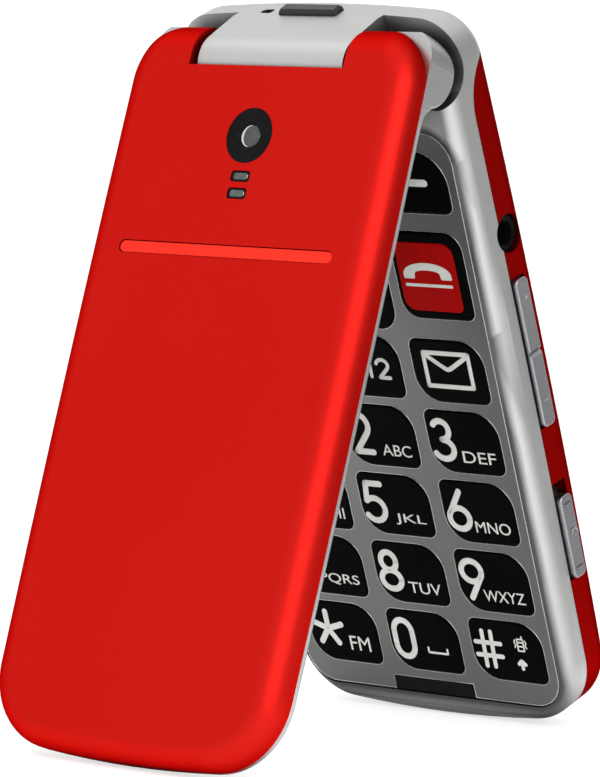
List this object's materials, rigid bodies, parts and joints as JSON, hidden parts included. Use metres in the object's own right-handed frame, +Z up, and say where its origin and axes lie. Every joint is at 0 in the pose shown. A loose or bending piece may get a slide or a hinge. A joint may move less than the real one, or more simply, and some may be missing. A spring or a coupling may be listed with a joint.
{
  "type": "flip phone",
  "caption": "Folding mobile phone with large keys: a hinged lid with camera over a keypad half, standing open like a tent.",
  "frame": {"origin": "middle of the footprint on the surface that both free ends stand on", "axes": "+X along the hinge axis towards the side keys, -Y towards the outer face of the lid, +Z up"},
  "size_m": [0.054, 0.0847, 0.1079],
  "materials": {
    "cover_red": "soft metallic red lacquer on plastic",
    "bar_red": "brighter red, satin",
    "housing_silver": "silver lacquer, satin",
    "plate_silver": "darker silver lacquer",
    "side_silver": "satin silver",
    "key_black": "gloss black with pale printed signs",
    "end_red": "gloss dark red",
    "call_green": "gloss green",
    "gloss_black": "gloss black",
    "lens_glass": "clear coated",
    "screen_glass": "clear window, dark when off",
    "inner_metal": "sheet metal",
    "pin_steel": "turned steel",
    "board_green": "circuit board",
    "inner_black": "moulded plastic",
    "mesh_metal": "woven mesh",
    "bumper_rubber": "soft silicone"
  },
  "bodies": {
    "base": {"front_frame": "housing_silver", "keypad_plate": "plate_silver", "rear_housing": "cover_red", "battery": "inner_black", "main_board": "board_green", "keypad_membrane": "bumper_rubber", "torch_lens": "gloss_black", "jack_socket": "inner_black", "usb_socket": "inner_metal", "mic_strip": "gloss_black", "loudspeaker": "inner_black", "vibration_motor": "inner_metal", "hinge_cartridge": "pin_steel", "hinge_pin": "pin_steel", "sim_holder": "inner_metal"},
    "lid": {"lid_cover": "cover_red", "lid_housing": "housing_silver", "display_window": "screen_glass", "display_module": "inner_metal", "earpiece_speaker": "inner_black", "earpiece_mesh": "mesh_metal", "lid_board": "board_green", "camera_module": "inner_metal", "camera_ring": "gloss_black", "camera_lens": "lens_glass", "indicator_window_upper": "gloss_black", "indicator_window_lower": "gloss_black", "trim_bar": "bar_red", "lid_bumpers": "bumper_rubber"},
    "call_key": {"call_key": "key_black", "call_key_face": "call_green"},
    "end_key": {"end_key": "key_black", "end_key_face": "end_red"},
    "nav_web": {"nav_web": "bumper_rubber"},
    "nav_ring": {"nav_ring": "key_black"},
    "nav_ok": {"nav_ok": "key_black"},
    "volume_rocker": {"volume_rocker": "side_silver"},
    "torch_switch": {"torch_switch": "side_silver"},
    "battery_cover": {"battery_cover": "cover_red"},
    "softkey_left": {"softkey_left": "key_black"},
    "softkey_right": {"softkey_right": "key_black"},
    "memory_key_1": {"memory_key_1": "key_black"},
    "memory_key_2": {"memory_key_2": "key_black"},
    "message_key": {"message_key": "key_black"},
    "key_1": {"key_1": "key_black"},
    "key_2": {"key_2": "key_black"},
    "key_3": {"key_3": "key_black"},
    "key_4": {"key_4": "key_black"},
    "key_5": {"key_5": "key_black"},
    "key_6": {"key_6": "key_black"},
    "key_7": {"key_7": "key_black"},
    "key_8": {"key_8": "key_black"},
    "key_9": {"key_9": "key_black"},
    "key_star": {"key_star": "key_black"},
    "key_0": {"key_0": "key_black"},
    "key_hash": {"key_hash": "key_black"}
  },
  "joints": [
    {"name": "lid_hinge", "type": "hinge", "parent": "base", "child": "lid", "pos_m": [0, -0.00532, 0.09862], "axis": [-1, 0, 0], "range_deg": [-38.15, 87]},
    {"name": "softkey_left_press", "type": "slide", "parent": "base", "child": "softkey_left", "axis": [0, 0.9407, 0.3392], "range_m": [0, 0.0004], "stiffness_N_per_m": 450, "springref_m": -0.0004},
    {"name": "softkey_right_press", "type": "slide", "parent": "base", "child": "softkey_right", "axis": [0, 0.9407, 0.3392], "range_m": [0, 0.0004], "stiffness_N_per_m": 450, "springref_m": -0.0004},
    {"name": "memory_key_1_press", "type": "slide", "parent": "base", "child": "memory_key_1", "axis": [0, 0.9407, 0.3392], "range_m": [0, 0.0004], "stiffness_N_per_m": 450, "springref_m": -0.0004},
    {"name": "memory_key_2_press", "type": "slide", "parent": "base", "child": "memory_key_2", "axis": [0, 0.9407, 0.3392], "range_m": [0, 0.0004], "stiffness_N_per_m": 450, "springref_m": -0.0004},
    {"name": "message_key_press", "type": "slide", "parent": "base", "child": "message_key", "axis": [0, 0.9407, 0.3392], "range_m": [0, 0.0004], "stiffness_N_per_m": 450, "springref_m": -0.0004},
    {"name": "key_1_press", "type": "slide", "parent": "base", "child": "key_1", "axis": [0, 0.9407, 0.3392], "range_m": [0, 0.0004], "stiffness_N_per_m": 450, "springref_m": -0.0004},
    {"name": "key_2_press", "type": "slide", "parent": "base", "child": "key_2", "axis": [0, 0.9407, 0.3392], "range_m": [0, 0.0004], "stiffness_N_per_m": 450, "springref_m": -0.0004},
    {"name": "key_3_press", "type": "slide", "parent": "base", "child": "key_3", "axis": [0, 0.9407, 0.3392], "range_m": [0, 0.0004], "stiffness_N_per_m": 450, "springref_m": -0.0004},
    {"name": "key_4_press", "type": "slide", "parent": "base", "child": "key_4", "axis": [0, 0.9407, 0.3392], "range_m": [0, 0.0004], "stiffness_N_per_m": 450, "springref_m": -0.0004},
    {"name": "key_5_press", "type": "slide", "parent": "base", "child": "key_5", "axis": [0, 0.9407, 0.3392], "range_m": [0, 0.0004], "stiffness_N_per_m": 450, "springref_m": -0.0004},
    {"name": "key_6_press", "type": "slide", "parent": "base", "child": "key_6", "axis": [0, 0.9407, 0.3392], "range_m": [0, 0.0004], "stiffness_N_per_m": 450, "springref_m": -0.0004},
    {"name": "key_7_press", "type": "slide", "parent": "base", "child": "key_7", "axis": [0, 0.9407, 0.3392], "range_m": [0, 0.0004], "stiffness_N_per_m": 450, "springref_m": -0.0004},
    {"name": "key_8_press", "type": "slide", "parent": "base", "child": "key_8", "axis": [0, 0.9407, 0.3392], "range_m": [0, 0.0004], "stiffness_N_per_m": 450, "springref_m": -0.0004},
    {"name": "key_9_press", "type": "slide", "parent": "base", "child": "key_9", "axis": [0, 0.9407, 0.3392], "range_m": [0, 0.0004], "stiffness_N_per_m": 450, "springref_m": -0.0004},
    {"name": "key_star_press", "type": "slide", "parent": "base", "child": "key_star", "axis": [0, 0.9407, 0.3392], "range_m": [0, 0.0004], "stiffness_N_per_m": 450, "springref_m": -0.0004},
    {"name": "key_0_press", "type": "slide", "parent": "base", "child": "key_0", "axis": [0, 0.9407, 0.3392], "range_m": [0, 0.0004], "stiffness_N_per_m": 450, "springref_m": -0.0004},
    {"name": "key_hash_press", "type": "slide", "parent": "base", "child": "key_hash", "axis": [0, 0.9407, 0.3392], "range_m": [0, 0.0004], "stiffness_N_per_m": 450, "springref_m": -0.0004},
    {"name": "call_key_press", "type": "slide", "parent": "base", "child": "call_key", "axis": [0, 0.9407, 0.3392], "range_m": [0, 0.0004], "stiffness_N_per_m": 450, "springref_m": -0.0004},
    {"name": "end_key_press", "type": "slide", "parent": "base", "child": "end_key", "axis": [0, 0.9407, 0.3392], "range_m": [0, 0.0004], "stiffness_N_per_m": 450, "springref_m": -0.0004},
    {"name": "nav_tilt_up_down", "type": "hinge", "parent": "base", "child": "nav_web", "pos_m": [0, 0.00838, 0.07125], "axis": [1, 0, 0], "range_deg": [-1.5, 1.5], "stiffness_Nm_per_rad": 0.05},
    {"name": "nav_tilt_left_right", "type": "hinge", "parent": "nav_web", "child": "nav_ring", "pos_m": [0, 0.00838, 0.07125], "axis": [0, -0.3392, 0.9407], "range_deg": [-1.5, 1.5], "stiffness_Nm_per_rad": 0.05},
    {"name": "nav_ok_press", "type": "slide", "parent": "nav_ring", "child": "nav_ok", "axis": [0, 0.9407, 0.3392], "range_m": [0, 0.0004], "stiffness_N_per_m": 450, "springref_m": -0.0004},
    {"name": "volume_rock", "type": "hinge", "parent": "base", "child": "volume_rocker", "pos_m": [0.0246, 0.01905, 0.0575], "axis": [0, -0.9407, -0.3392], "range_deg": [-1.5, 1.5], "stiffness_Nm_per_rad": 0.05},
    {"name": "torch_slide", "type": "slide", "parent": "base", "child": "torch_switch", "axis": [0, -0.3392, 0.9407], "range_m": [0, 0.0018]},
    {"name": "battery_cover_off", "type": "slide", "parent": "base", "child": "battery_cover", "axis": [0, 0.9407, 0.3392], "range_m": [0, 0.015]}
  ]
}
